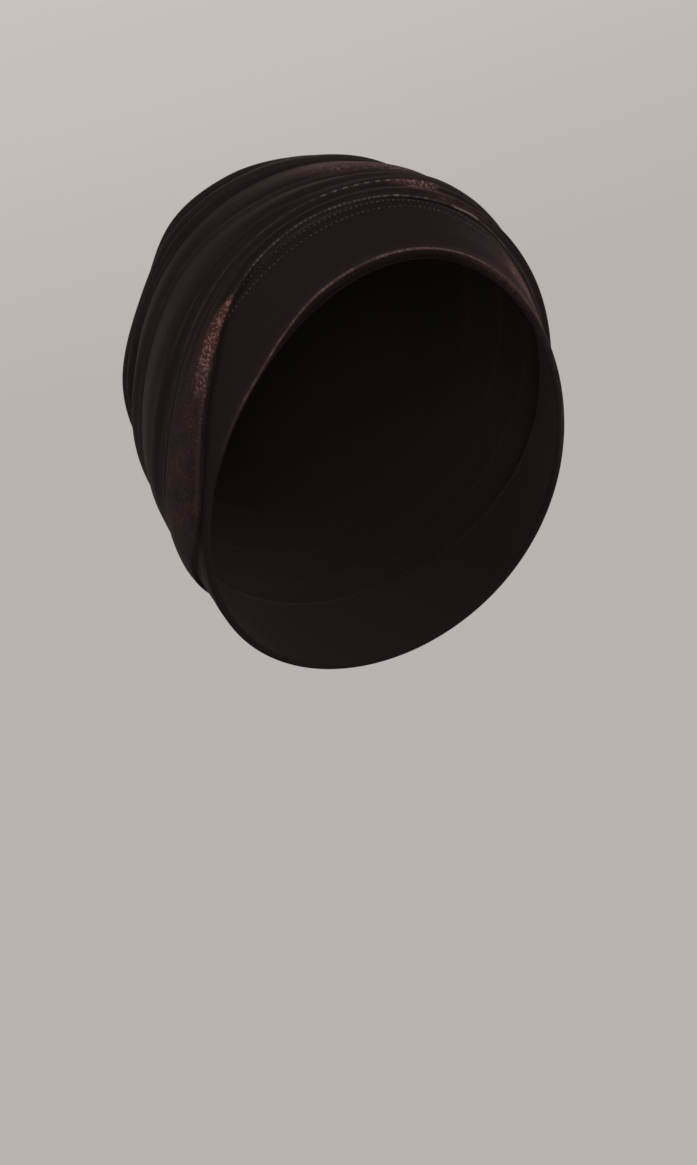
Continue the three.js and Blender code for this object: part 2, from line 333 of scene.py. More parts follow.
MOTTLE_SPREAD = (0.3, 0.7, 0.35, 1.65)
SHEEN_SPREAD = (0, 1, 0.42, 0.14)       # painted sheen between the glints, from closed to open pile
WALE_PITCH = 1.3                       # of the knitted back, in millimetres
WALE_SPREAD = (-1, 1, 0, 0.6)
BACK_GRAIN = 900
BACK_GRAIN_SPREAD = (0.3, 0.7, 0, 0.4)
TWIST = {"scale": 2600, "detail": 1}   # of the thread
TWIST_SPREAD = (0.35, 0.65, 0.4, 1)

# The camera, as the photograph was taken
PHOTO_WIDTH = 697
PHOTO_HEIGHT = 1165
FOCAL_PIXELS = 2207
RIM_CENTRE_PIXEL = (390, 476)
CAMERA_DISTANCE = 0.85
CAMERA_TURN = math.radians(-18.7)
CAMERA_RISE = math.radians(-7.75)
CAMERA_ROLL = math.radians(16.3)
SENSOR = 36              # the longer side of its sensor, in millimetres
NEAREST_SEEN = 0.01

# The room and its lights. towards is a light's direction in the camera's right, up and back.
ROOM_LOW = (0.487, 0.454, 0.438)
ROOM_HIGH = (0.595, 0.546, 0.506)
ROOM_LOW_AT = 0.25       # the upward part of the direction where each of them is reached
ROOM_HIGH_AT = 0.42
ROOM_LIGHT = 0.75
LIGHT_COLUMNS = ("name", "towards", "distance", "size", "watts", "color")
LIGHTS = (
    ("key", (-1, 0.35, 0.2), 1.3, 0.45, 3, (1, 0.95, 0.91)),
    ("side", (0.9, 0.45, 0.6), 1.4, 0.5, 5.5, (1, 0.84, 0.72)),
    ("front", (0, 0.1, 1), 1, 0.5, 6, (1, 0.96, 0.94)),
)
FLOOR_DROP = 0.5         # from the rim's centre down to the floor
FLOOR_SIDES = 96
FLOOR_RADIUS = 0.7
FLOOR_PLAIN_RADIUS = 0.35
FLOOR_DARK = (0.60, 0.565, 0.53)
FLOOR_LIGHT = (0.64, 0.605, 0.57)
FLOOR_GLOSS = {"Roughness": 0.9, "Specular IOR Level": 0.1}
FLOOR_GRAIN = {"scale": 60, "detail": 4}
FLOOR_SPREAD = (0.3, 0.7, 0, 1)


def bend(before, start, end, after, share):
    """A smooth curve between two values, bent by their neighbours."""
    square = share * share
    cube = square * share
    return (
        (2 * cube - 3 * square + 1) * start
        + (cube - 2 * square + share) * (end - before) / 2
        + (3 * square - 2 * cube) * end
        + (cube - square) * (after - start) / 2
    )


def along_list(values, place):
    """A list's value at a place between its rows."""
    values = np.asarray(values, float)
    last = len(values) - 1
    place = np.clip(place, 0, last)
    first = np.minimum(np.floor(place).astype(int), last - 1)
    rows = [values[np.clip(first + step, 0, last)] for step in (-1, 0, 1, 2)]
    return bend(*rows, place - first)


def round_list(values, bearing):
    """A list's value at a bearing, where the list goes once round the head."""
    values = np.asarray(values, float)
    place = np.mod(bearing / (2 * np.pi), 1) * len(values)
    first = np.floor(place).astype(int)
    rows = [values[np.mod(first + step, len(values))] for step in (-1, 0, 1, 2)]
    return bend(*rows, place - first)


def section(column, cloth):
    """A column of the sections at a distance along the cloth."""
    values = [row[SECTION_COLUMNS.index(column)] for row in SECTIONS]
    return along_list(values, cloth / SECTION_STEP)


def profile(column, place):
    """A column of the pleats' profile at a share of the way through it."""
    values = [row[PROFILE_COLUMNS.index(column)] for row in PLEAT_PROFILE]
    return along_list(values, place * (len(PLEAT_PROFILE) - 1))


def plain_point(cloth, bearing):
    """A point of the form without its pleats."""
    ahead = np.cos(bearing)
    reach = np.where(ahead > 0, section("brow", cloth), section("nape", cloth))
    side = section("half_width", cloth) * np.sin(bearing) * (1 - section("taper", cloth) * ahead)
    return np.stack([side, -reach * ahead, section("rise", cloth)], axis=-1)


def form_point(cloth, bearing, out_by):
    """A point at a distance along the cloth, a bearing round the head and a distance out of the form."""
    step, turn = 0.1, 0.01
    lower = np.clip(cloth - step / 2, 0, CLOTH_LENGTH - 2 * step)
    along = plain_point(lower + step, bearing) - plain_point(lower, bearing)
    around = plain_point(lower, bearing + turn) - plain_point(lower, bearing - turn)
    out = np.cross(around, along)
    out /= np.linalg.norm(out, axis=-1, keepdims=True)
    return plain_point(cloth, bearing) + out * np.asarray(out_by)[..., None]


def window(value, middle, half, soft):
    """1 within half of the middle, falling smoothly to 0 over the soft width beyond."""
    share = np.clip((half + soft - np.abs(value - middle)) / soft, 0, 1)
    return share * share * (3 - 2 * share)


def smooth_noise(bearing, place, cells_around, seed):
    """Smooth noise from -1 to 1. It closes on itself round the head; place counts cells the other way."""
    rows = int(np.max(place)) + 3
    lattice = np.random.default_rng(seed).uniform(-1, 1, (rows, cells_around))
    turn = np.mod(bearing / (2 * np.pi), 1) * cells_around
    column = np.floor(turn).astype(int)
    row = np.floor(place).astype(int)
    across = (turn - column) ** 2 * (3 - 2 * (turn - column))
    up = (place - row) ** 2 * (3 - 2 * (place - row))

    def corner(right, above):
        return lattice[row + above, np.mod(column + right, cells_around)]

    low = corner(0, 0) * (1 - across) + corner(1, 0) * across
    high = corner(0, 1) * (1 - across) + corner(1, 1) * across
    return low * (1 - up) + high * up


BEARINGS = np.linspace(0, 2 * np.pi, AROUND, endpoint=False)
DEGREES = np.degrees(np.where(BEARINGS > np.pi, BEARINGS - 2 * np.pi, BEARINGS))
WARM = window(np.abs(DEGREES), *WARM_SPAN)
REAR_FOLD_WAY = (ROLL_START - DEGREES) / (ROLL_START - REAR_FOLD_END)


def mesh_piece(name, points, faces, marks):
    """A smooth mesh from points in millimetres over the rim, with a number at every point for each mark."""
    tilt = np.array(Matrix.Rotation(-RIM_TILT, 3, "X"))
    mesh = bpy.data.meshes.new(name)
    mesh.from_pydata((np.asarray(points) @ tilt.T * MM).tolist(), [], faces)
    mesh.polygons.foreach_set("use_smooth", [True] * len(faces))
    for mark, numbers in marks.items():
        mesh.attributes.new(mark, "FLOAT", "POINT").data.foreach_set("value", numbers)
    mesh.update()
    piece = bpy.data.objects.new(name, mesh)
    bpy.context.scene.collection.objects.link(piece)
    return piece


def ring_mesh(name, rings, along, marks, poles=None, inner_rows=0):
    """A closed mesh from rings of points, each joined to the next, and the last to the first unless
    poles close the two ends. The first inner_rows joins take the second material. Each mark is a number
    at every point, and cloth is its place on the cloth: round the head in two numbers, and along it, which
    is the same all round a ring."""
    rings = np.asarray(rings)
    count = len(rings)
    points = rings.reshape(-1, 3)
    cloth = np.empty((count, AROUND, 3))
    cloth[..., 0] = HEAD_RADIUS * np.cos(BEARINGS)
    cloth[..., 1] = HEAD_RADIUS * np.sin(BEARINGS)
    cloth[..., 2] = np.reshape(along, (count, 1))
    cloth = cloth.reshape(-1, 3)
    values = {mark: np.asarray(numbers, float).reshape(-1) for mark, numbers in marks.items()}
    joins = count if poles is None else count - 1
    ring = np.arange(joins)[:, None]
    facet = np.arange(AROUND)[None, :]
    after = (facet + 1) % AROUND
    above = (ring + 1) % count
    low, high = ring * AROUND, above * AROUND
    corners = (low + facet, low + after, high + after, high + facet)
    faces = np.stack(np.broadcast_arrays(*corners), axis=-1).reshape(-1, 4).tolist()
    inner = np.repeat(np.arange(joins) < inner_rows, AROUND).astype(int).tolist()
    if poles is not None:
        start = count * AROUND
        points = np.vstack([points, poles])
        cloth = np.vstack([cloth, [[0, 0, along[0]], [0, 0, along[-1]]]])
        values = {mark: np.append(numbers, [0, 0]) for mark, numbers in values.items()}
        last = (count - 1) * AROUND
        for place in range(AROUND):
            beside = (place + 1) % AROUND
            faces.append((start, beside, place))
            faces.append((start + 1, last + place, last + beside))
            inner.extend((1, 0))
    piece = mesh_piece(name, points, faces, values)
    piece.data.polygons.foreach_set("material_index", inner)
    places = piece.data.attributes.new("cloth", "FLOAT_VECTOR", "POINT")
    places.data.foreach_set("vector", cloth.reshape(-1))
    return piece


def small_folds(table, place):
    """The sum of a table's folds, in millimetres out, at a place for each bearing."""
    total = np.zeros(AROUND)
    for row in table:
        fold = dict(zip(FOLD_COLUMNS, row))
        noise = smooth_noise(BEARINGS, place * fold["finer"], fold["around"], fold["seed"])
        total += fold["height"] * noise
    return total


def band_out(cloth):
    """How far the band's face stands out of the form at distances along the cloth, one for each bearing."""
    wave = small_folds(BAND_FOLDS, cloth / BAND_FOLD_CELL)
    inside_hem = 1 / (1 + np.exp((cloth - HEM_DEPTH) / HEM_SOFT))
    from_rows = [np.abs(cloth - row) for row, first in TWIN_ROWS]
    dip = sum(-STITCH_DIP * np.exp(-((apart / STITCH_DIP_WIDTH) ** 2)) for apart in from_rows)
    pucker = PUCKER * np.cos(BEARINGS * HEAD_RADIUS * 2 * math.pi / STITCH_PITCH)
    pucker = pucker * np.exp(-((np.min(from_rows, axis=0) / PUCKER_WIDTH) ** 2))
    calm = np.clip(cloth / HEM_DEPTH, 0, 1)
    return HEM_SWELL * inside_hem + dip + (wave + pucker) * calm


def crown_folds(place, share):
    """The small folds on the crown, in millimetres out, at a place counted in pleats from the seam and at
    a share of its pleat."""
    folds = small_folds(CROWN_FOLDS, np.full(AROUND, place))
    behind_front = np.clip((share - FRONT_END) / FRONT_SOFT, 0, 1)
    return np.maximum(folds * (FRONT_FOLDS + (1 - FRONT_FOLDS) * behind_front), DEEPEST)


def crown_rows(place_in_pleat, pleat, following, face):
    """One row of points on the crown's outer or inner face."""
    share = np.full(AROUND, place_in_pleat)
    start = round_list(pleat["crease"], BEARINGS) + SEAM_GAP
    end = round_list(following["crease"], BEARINGS) + SEAM_GAP if following else LAST_PLEAT_END
    overhang = round_list(pleat["overhang"], BEARINGS)
    height = round_list(pleat["height"], BEARINGS)
    number = PLEATS.index(pleat)
    if face == "inner":
        ease = OVERHANG_EASE * np.maximum(overhang, 0)
        swell = np.maximum(height - ease, 0) * profile("inner_out", share)
        least = SEAM + INNER_RUN + SEAM_GAP
        start = np.maximum(start, least) if number else start
        end = np.maximum(end, least)
        flat = start + (end - start) * profile("inner_along", share)
        cloth = flat - np.minimum(overhang, 0) * profile("ahead", share)
        return form_point(cloth, BEARINGS, SEAM_LIFT - CROWN_WALL + swell)
    soft = np.clip(round_list(pleat["soft"], BEARINGS), 0, 1)
    along = (1 - soft) * profile("along", share) + soft * profile("soft_along", share)
    rise = (1 - soft) * profile("out", share) + soft * profile("soft_out", share)
    cloth = start + (end - start) * along - overhang * profile("ahead", share)
    foot = round_list(pleat["foot"], BEARINGS) * (1 - along)
    if following:
        foot = foot + round_list(following["foot"], BEARINGS) * along
    grown = np.clip(height * rise / FOLDS_NEED, 0, 1)
    swell = height * rise + crown_folds(number + place_in_pleat, place_in_pleat) * grown
    out_by = SEAM_LIFT + foot + swell
    if number == 0:
        on_band = window(share, *LIP_SPAN) * np.clip(SEAM - cloth, 0, 1)
        out_by = out_by + (band_out(cloth) + LIP_GAP - out_by) * on_band
        sewn = np.clip(1 - share / SEWN_PLACE, 0, 1)
        cloth = cloth - (SEAM_GAP - SEWN_GAP) * sewn
        out_by = out_by + (band_out(np.full(AROUND, float(SEAM))) - out_by) * sewn
    return form_point(cloth, BEARINGS, out_by)


def rear_fold_place(way):
    """The place in the lowest pleat of the fold behind the roll's strip, at shares of the fold's way."""
    return REAR_FOLD_FROM + (REAR_FOLD_TO - REAR_FOLD_FROM) * way


def roll_highlight(share):
    """How strong the painted highlight is on the roll, where the pile lies open, from 0 to 1, on a row of
    the lowest pleat.
    """
    way = (ROLL_START - DEGREES) / (ROLL_START - ROLL_END)
    wide = np.clip(ROLL_NARROW + ROLL_WIDENS * way, ROLL_NARROWEST, 1)
    half = (rear_fold_place(REAR_FOLD_WAY) - ROLL_FRONT) * wide / 2
    across = window(share, ROLL_FRONT + half, ROLL_WHOLE * half, ROLL_SOFT * half + ROLL_SOFT_LEAST)
    opening = window(way, ROLL_BRIGHTEST, ROLL_BRIGHTEST, ROLL_START_SOFT)
    closing = window(way, ROLL_BRIGHTEST, 0, ROLL_END_SOFT)
    return across * np.where(way < ROLL_BRIGHTEST, opening, closing)


def painted_sheen(number, share):
    """How strong the painted sheen and glints are on a row of a pleat, where the pile lies open, from 0 to
    1: on the roll and in the patches.
    """
    sheen_amount = np.zeros(AROUND) if number else roll_highlight(share)
    for row in PATCHES:
        patch = dict(zip(PATCH_COLUMNS, row))
        if patch["pleat"] == number:
            spread = window(DEGREES, *patch["around"]) * window(share, *patch["along"])
            sheen_amount = np.maximum(sheen_amount, spread * patch["open"])
    return sheen_amount


def edge_marks(outer):
    """How far each point of the crown's outer rows lies from the nearest painted highlight edge along the
    cloth,
    and how light that painted highlight is: in a plain line, in beads and in dashes."""
    steps = np.linalg.norm(np.diff(outer, axis=0), axis=-1)
    run = np.concatenate([np.zeros((1, AROUND)), np.cumsum(steps, axis=0)])
    marks = {name: np.zeros(run.shape) for name in ("edge", "line", "bead", "dash")}
    marks["edge"] += FAR_FROM_EDGE

    def add(edge_run, lights):
        apart = np.abs(run - edge_run)
        closer = apart < marks["edge"]
        marks["edge"][closer] = apart[closer]
        for name in ("line", "bead", "dash"):
            marks[name][closer] = np.broadcast_to(lights[name], run.shape)[closer]

    def run_at(first, shares):
        rows = np.arange(first, first + PLEAT_ROWS + 1)
        places = first + shares * PLEAT_ROWS
        return np.array([np.interp(places[facet], rows, run[rows, facet]) for facet in range(AROUND)])

    for number, pleat in enumerate(PLEATS):
        lights = {"line": np.clip(round_list(pleat["line"], BEARINGS), 0, 1), "bead": 0, "dash": 0}
        for row in GLEAMS:
            gleam = dict(zip(GLEAM_COLUMNS, row))
            if gleam["pleat"] == number:
                light = window(DEGREES, *gleam["around"]) * gleam["light"]
                lights[gleam["kind"]] = np.maximum(lights[gleam["kind"]], light)
        add(run_at(number * PLEAT_ROWS, round_list(pleat["edge"], BEARINGS)), lights)
    rear_light = REAR_FOLD_LIGHT * window(REAR_FOLD_WAY, *REAR_FOLD_SPAN)
    rear = rear_fold_place(np.clip(REAR_FOLD_WAY, 0, 1))
    add(run_at(0, rear), {"line": rear_light, "bead": 0, "dash": 0})
    return marks


def make_crown():
    """The crown, one wall of velvet with its pleats and small folds."""
    outer, inner, pile, along = [], [], [], []
    for number, pleat in enumerate(PLEATS):
        following = PLEATS[number + 1] if number + 1 < len(PLEATS) else None
        for row in range(PLEAT_ROWS):
            outer.append(crown_rows(row / PLEAT_ROWS, pleat, following, "outer"))
            pile.append(painted_sheen(number, row / PLEAT_ROWS))
            along.append((number + row / PLEAT_ROWS) * PLEAT_CLOTH)
        for row in range(PLEAT_INNER_ROWS):
            inner.append(crown_rows(row / PLEAT_INNER_ROWS, pleat, following, "inner"))
    for row in range(CLOSING_ROWS):
        share = row / CLOSING_ROWS
        cloth = LAST_PLEAT_END + (CLOTH_LENGTH - LAST_PLEAT_END) * share
        folds = crown_folds(len(PLEATS) + share, 1)
        fade = min(share / CLOSING_FOLDS_IN, 1) * math.sqrt(1 - share)
        level = np.full(AROUND, cloth)
        outer.append(form_point(level, BEARINGS, SEAM_LIFT + folds * fade))
        pile.append(np.zeros(AROUND))
        along.append((len(PLEATS) + CLOSING_PLEATS * share) * PLEAT_CLOTH)
        inner.append(form_point(level, BEARINGS, np.full(AROUND, SEAM_LIFT - CROWN_WALL)))
    plain = np.zeros((len(inner), AROUND))
    marks = {name: np.vstack([plain, values]) for name, values in edge_marks(np.array(outer)).items()}
    # the pile mark carries the painted sheen and glints
    marks["pile"] = np.vstack([plain, pile])
    marks["turned"] = np.zeros(marks["pile"].shape)
    marks["warm"] = marks["turned"] + WARM
    top = np.array([0, 0, SECTIONS[-1][0] + SEAM_LIFT])
    poles = [top - [0, 0, CROWN_WALL], top]
    along = [0] * len(inner) + along
    return ring_mesh("crown_velvet", inner[::-1] + outer, along, marks, poles, inner_rows=len(inner) - 1)


def make_band():
    """The band, velvet folded double, with a rounded hem along the rim."""
    half = (BAND_WALL + HEM_SWELL) / 2
    light_at = HEM_LIGHT_AT + HEM_LIGHT_RISE * window(DEGREES, *HEM_RAISED_SPAN)
    hem_sheen = HEM_SHEEN * window(DEGREES, *HEM_SHEEN_SPAN)
    glint = window(DEGREES, *GLINT_SPAN)
    side_sheen = BAND_SIDE_SHEEN * window(DEGREES, *BAND_SIDE_SPAN)
    rings, above_light, pile = [], [], []

    def add_ring(cloth, out_by, above, sheen_amount):
        all_round = np.ones(AROUND)
        rings.append(form_point(cloth * all_round, BEARINGS, out_by * all_round))
        above_light.append(above * all_round)
        pile.append(sheen_amount * all_round)

    for row in range(BAND_INNER_ROWS):
        add_ring(SEAM + (half - SEAM) * row / BAND_INNER_ROWS, -BAND_WALL, FAR_FROM_EDGE, 0)
    for row in range(HEM_ROWS):
        turn = math.pi * row / HEM_ROWS
        out_by = HEM_SWELL - half - half * math.cos(turn)
        above = half - (math.pi - turn) * half - light_at
        add_ring(half - half * math.sin(turn), out_by, above, hem_sheen * turn / math.pi)
    for row in range(BAND_ROWS + 1):
        cloth = half + (SEAM - half) * row / BAND_ROWS
        sheen_amount = np.maximum(glint * window(cloth, *GLINT_ALONG), hem_sheen * window(cloth, *HEM_SHEEN_ALONG))
        add_ring(cloth, band_out(np.full(AROUND, cloth)), cloth - light_at, np.maximum(sheen_amount, side_sheen))
    above_light = np.array(above_light)
    # below the hem's light line: painted shade there, and no warm painted sheen; pile carries the painted
    # sheen and glints
    turned = np.clip(-above_light, 0, 1)
    plain = np.zeros(above_light.shape)
    marks = {
        "edge": np.abs(above_light),
        "line": plain + HEM_LIGHT * window(DEGREES, *HEM_SEEN_SPAN),
        "bead": plain + HEM_BEADS * window(DEGREES, *HEM_BEADS_SPAN),
        "dash": plain,
        "pile": pile,
        "turned": turned * window(DEGREES, *HEM_SHADE_SPAN),
        "warm": WARM * (1 - turned),
    }
    return ring_mesh("band_velvet", rings, range(len(rings)), marks, inner_rows=BAND_INNER_ROWS)


def stitch_row(cloth, first):
    """The stitches of one row round the band: the middle of each, its direction and the way out."""
    fine = np.linspace(0, 2 * np.pi, STITCH_STEPS)
    line = form_point(np.full(STITCH_STEPS, cloth), fine, np.zeros(STITCH_STEPS))
    length = np.append(0, np.cumsum(np.linalg.norm(np.diff(line, axis=0), axis=1)))
    count = int(length[-1] / STITCH_PITCH)
    places = (np.arange(count) + first) * length[-1] / count
    bearing = np.interp(places, length, fine)
    level = np.full(count, cloth)
    out_by = np.interp(bearing, BEARINGS, band_out(np.full(AROUND, cloth)), period=2 * np.pi)
    middle = form_point(level, bearing, out_by)
    out = form_point(level, bearing, out_by + 1) - middle
    before = form_point(level, bearing - STITCH_TURN, out_by)
    ahead = form_point(level, bearing + STITCH_TURN, out_by) - before
    ahead /= np.linalg.norm(ahead, axis=1, keepdims=True)
    return middle, ahead, out


def make_stitches():
    """All the stitches on the band as one mesh of small rounded beads of thread, each a little lighter or
    darker than the next."""
    corners = np.arange(STITCH_SIDES)
    angles = np.linspace(0, 2 * np.pi, STITCH_SIDES, endpoint=False)[:, None]
    chance = np.random.default_rng(THREAD_SEED)
    points, faces, shades = [], [], []
    for cloth, first in TWIN_ROWS:
        for middle, ahead, out in zip(*stitch_row(cloth, first)):
            around = np.cos(angles) * out + np.sin(angles) * np.cross(ahead, out)
            start = len(points)
            shades.extend([chance.uniform(*THREAD_SHADES)] * (STITCH_SIDES * STITCH_STATIONS))
            for station in range(STITCH_STATIONS):
                reach = -math.cos(math.pi * station / (STITCH_STATIONS - 1))
                radius = THREAD / 2 * math.sqrt(1 - STITCH_POINT * reach * reach)
                lift = THREAD * (STITCH_LIFT - STITCH_SINK * reach * reach)
                centre = middle + ahead * reach * STITCH_LENGTH / 2 + out * lift
                points.extend(centre + radius * around)
            for station in range(STITCH_STATIONS - 1):
                low = start + station * STITCH_SIDES + corners
                beside = np.roll(low, -1)
                quads = (low, beside, beside + STITCH_SIDES, low + STITCH_SIDES)
                faces.extend(np.stack(quads, axis=1).tolist())
            faces.append((start + corners[::-1]).tolist())
            faces.append((start + (STITCH_STATIONS - 1) * STITCH_SIDES + corners).tolist())
    return mesh_piece("band_stitches", points, faces, {"shade": shades})


class Nodes:
    """A material's nodes, added one at a time."""

    def __init__(self, name):
        self.material = bpy.data.materials.new(name)
        self.material.use_nodes = True
        self.tree = self.material.node_tree
        self.shader = self.tree.nodes["Principled BSDF"]

    def add(self, kind, inputs=None, **settings):
        node = self.tree.nodes.new(kind)
        for key, value in settings.items():
            setattr(node, key, value)
        for key, value in (inputs or {}).items():
            self.put(node.inputs[key], value)
        return node

    def put(self, socket, value):
        """Link a socket to another one or set its value, which for a colour is red, green and blue."""
        if isinstance(value, bpy.types.NodeSocket):
            self.tree.links.new(value, socket)
        elif socket.type == "RGBA":
            socket.default_value = (*value, 1)
        else:
            socket.default_value = value

    def surface(self, inputs):
        """Link or set inputs of the shader."""
        for key, value in inputs.items():
            self.put(self.shader.inputs[key], value)

    def bump(self, height, settings):
        node = self.add("ShaderNodeBump", {"Height": height, **settings})
        self.surface({"Normal": node.outputs["Normal"]})

    def place(self):
        return self.add("ShaderNodeTexCoord").outputs["Object"]

    def noise(self, scale, detail=2, roughness=0.5, place=None):
        """Noise with so many cells in a metre, or in a unit of the place that is given."""
        place = self.place() if place is None else place
        inputs = {"Vector": place, "Scale": scale, "Detail": detail, "Roughness": roughness}
        return self.add("ShaderNodeTexNoise", inputs).outputs["Fac"]

    def spread(self, value, low, high, to_low, to_high, kind="LINEAR"):
        """A value's range turned into another one, and held at both ends."""
        inputs = {"Value": value, "From Min": low, "From Max": high, "To Min": to_low, "To Max": to_high}
        return self.add("ShaderNodeMapRange", inputs, interpolation_type=kind).outputs["Result"]

    def soft_spread(self, *values):
        return self.spread(*values, kind="SMOOTHSTEP")

    def mark(self, name):
        return self.add("ShaderNodeAttribute", attribute_name=name).outputs["Fac"]

    def math(self, operation, *values):
        return self.add("ShaderNodeMath", dict(enumerate(values)), operation=operation).outputs[0]

    def times(self, first, *others):
        for value in others:
            first = self.math("MULTIPLY", first, value)
        return first

    def plus(self, first, *others):
        for value in others:
            first = self.math("ADD", first, value)
        return first

    def mix(self, share, first, second):
        node = self.add("ShaderNodeMix", data_type="RGBA")
        inputs = {"Factor": share, "A": first, "B": second}
        for socket in node.inputs:
            if socket.enabled and socket.name in inputs:
                self.put(socket, inputs[socket.name])
        return next(socket for socket in node.outputs if socket.enabled)


def cloth_place(made):
    """A material's place on the cloth: as a vector, the millimetres round the head and those along it."""
    cloth = made.add("ShaderNodeAttribute", attribute_name="cloth").outputs["Vector"]
    part = made.add("ShaderNodeSeparateXYZ", {0: cloth}).outputs
    around = made.times(made.math("ARCTAN2", part["Y"], part["X"]), HEAD_RADIUS)
    return cloth, around, part["Z"]


def streaks(made, cloth, scales):
    """Noise that is drawn out: scales are its cells per millimetre round the head and along the cloth."""
    inputs = {0: cloth, 1: (scales[0], *scales)}
    place = made.add("ShaderNodeVectorMath", inputs, operation="MULTIPLY").outputs["Vector"]
    return made.noise(1, place=place)


def ripple(made, around, pitch):
    """A wave round the head, from -1 to 1."""
    return made.math("SINE", made.times(around, 2 * math.pi / pitch))


def edge_light(made, cloth, around, line_reach):
    """How light the velvet is painted along its edges, as painted highlights: in plain lines, beads and
    dashes, with a faint painted glow.
    """
    edge = made.mark("edge")
    line = made.mark("line")
    core = made.soft_spread(edge, LINE_CORE, line_reach, 1, 0)
    glow = made.soft_spread(edge, 0, GLOW_REACH, GLOW_LIGHT, 0)
    uneven = made.spread(streaks(made, cloth, LINE_STREAKS), *LINE_SPREAD)
    beaded = made.times(made.mark("bead"), made.spread(ripple(made, around, BEAD_PITCH), *BEAD_SPREAD))
    dashed = made.times(made.mark("dash"), made.spread(ripple(made, around, DASH_PITCH), *DASH_SPREAD))
    lines = made.times(core, made.plus(beaded, dashed, line), uneven)
    return made.plus(lines, made.times(made.math("MINIMUM", line, GLOW_MOST), glow))


def velvet(name, dark, line_light, line_reach, streak_light):
    """Short-piled stretch velvet: near black where the pile stands, with painted sheen highlights where it
    lies open, along the edges of the folds and in painted glints on the roll, and painted shade under the
    hem's line."""
    made = Nodes(name)
    cloth, around, along = cloth_place(made)
    edges = edge_light(made, cloth, around, line_reach)
    fade = made.soft_spread(along, *STREAKS_FADE, streak_light, 0)
    drawn = made.times(made.spread(streaks(made, cloth, CROWN_STREAKS), *CROWN_STREAK_SPREAD), fade)
    grain = made.noise(PILE_GRAIN)
    lit = made.plus(edges, drawn, made.spread(grain, *PILE_GRAIN_SPREAD))
    # painted shade under the hem's light line, where the mark turned is set
    ground = made.mix(made.mark("turned"), dark, HEM_SHADE_DARK)
    lined = made.mix(lit, ground, line_light)
    # painted glints: a few light cells of the pile
    cells = made.add("ShaderNodeTexVoronoi", {"Vector": made.place(), "Scale": SPARK_GRAIN})
    cell = made.add("ShaderNodeSeparateXYZ", {0: cells.outputs["Color"]})
    spark = made.math("POWER", cell.outputs["X"], SPARK_POWER)
    # painted sheen where the pile lies open, mottled
    sheen_amount = made.times(made.mark("pile"), made.spread(made.noise(**MOTTLE), *MOTTLE_SPREAD))
    sparks = made.times(spark, SPARK_LIGHT, made.math("SQRT", sheen_amount))
    pile = made.times(sheen_amount, made.plus(sparks, made.spread(sheen_amount, *SHEEN_SPREAD)))
    # colour of the painted sheen and glints, warmer beside the brow
    pile_light = made.mix(made.mark("warm"), SHEEN_PINK, SHEEN_WARM)
    made.surface({"Base Color": made.mix(pile, lined, pile_light), **VELVET_GLOSS})
    made.bump(made.plus(grain, made.times(sheen_amount, spark)), VELVET_BUMP)
    return made.material


def knit_back(name):
    """The plain matt inside of the velvet, with its fine knitted wales."""
    made = Nodes(name)
    around = cloth_place(made)[1]
    wale = ripple(made, around, WALE_PITCH)
    grain = made.spread(made.noise(BACK_GRAIN), *BACK_GRAIN_SPREAD)
    shade = made.plus(made.spread(wale, *WALE_SPREAD), grain)
    made.surface({"Base Color": made.mix(shade, BACK_DARK, BACK_LIGHT), **BACK_GLOSS})
    made.bump(wale, BACK_BUMP)
    return made.material


def thread():
    """Brown sewing thread with a soft gloss, lighter where a stitch is lighter."""
    made = Nodes("thread")
    shade = made.times(made.mark("shade"), made.spread(made.noise(**TWIST), *TWIST_SPREAD))
    made.surface({"Base Color": made.mix(shade, THREAD_DARK, THREAD_LIGHT), **THREAD_GLOSS})
    return made.material


def floor_paint():
    """A pale floor that fades away with the distance from the hat."""
    made = Nodes("floor")
    speck = made.spread(made.noise(**FLOOR_GRAIN), *FLOOR_SPREAD)
    made.surface({"Base Color": made.mix(speck, FLOOR_DARK, FLOOR_LIGHT), **FLOOR_GLOSS})
    distance = made.add("ShaderNodeVectorMath", {0: made.place()}, operation="LENGTH").outputs["Value"]
    share = made.spread(distance, FLOOR_PLAIN_RADIUS, FLOOR_RADIUS, 0, 1)
    clear = made.add("ShaderNodeBsdfTransparent").outputs["BSDF"]
    mixed = made.add("ShaderNodeMixShader", {0: share, 1: made.shader.outputs["BSDF"], 2: clear})
    made.put(made.tree.nodes["Material Output"].inputs["Surface"], mixed.outputs["Shader"])
    return made.material


def camera_axes():
    """The camera's right, up and back as the photograph has them."""
    right = Vector((math.cos(CAMERA_TURN), math.sin(CAMERA_TURN), 0))
    back = Vector((
        math.sin(CAMERA_TURN) * math.cos(CAMERA_RISE),
        -math.cos(CAMERA_TURN) * math.cos(CAMERA_RISE),
        math.sin(CAMERA_RISE),
    ))
    up = back.cross(right)
    rolled_right = right * math.cos(CAMERA_ROLL) - up * math.sin(CAMERA_ROLL)
    rolled_up = right * math.sin(CAMERA_ROLL) + up * math.cos(CAMERA_ROLL)
    return rolled_right, rolled_up, back


def make_camera():
    """The camera, with the rim's centre at its pixel of the photograph."""
    right, up, back = camera_axes()
    per_pixel = CAMERA_DISTANCE / FOCAL_PIXELS
    across = (RIM_CENTRE_PIXEL[0] - PHOTO_WIDTH / 2) * per_pixel
    above = (PHOTO_HEIGHT / 2 - RIM_CENTRE_PIXEL[1]) * per_pixel
    data = bpy.data.cameras.new("camera")
    data.sensor_width = SENSOR
    data.lens = FOCAL_PIXELS * SENSOR / PHOTO_HEIGHT
    data.clip_start = NEAREST_SEEN
    camera = bpy.data.objects.new("camera", data)
    turned = Matrix((right, up, back)).transposed()
    place = back * CAMERA_DISTANCE - right * across - up * above
    camera.matrix_world = Matrix.Translation(place) @ turned.to_4x4()
    bpy.context.scene.collection.objects.link(camera)
    bpy.context.scene.camera = camera


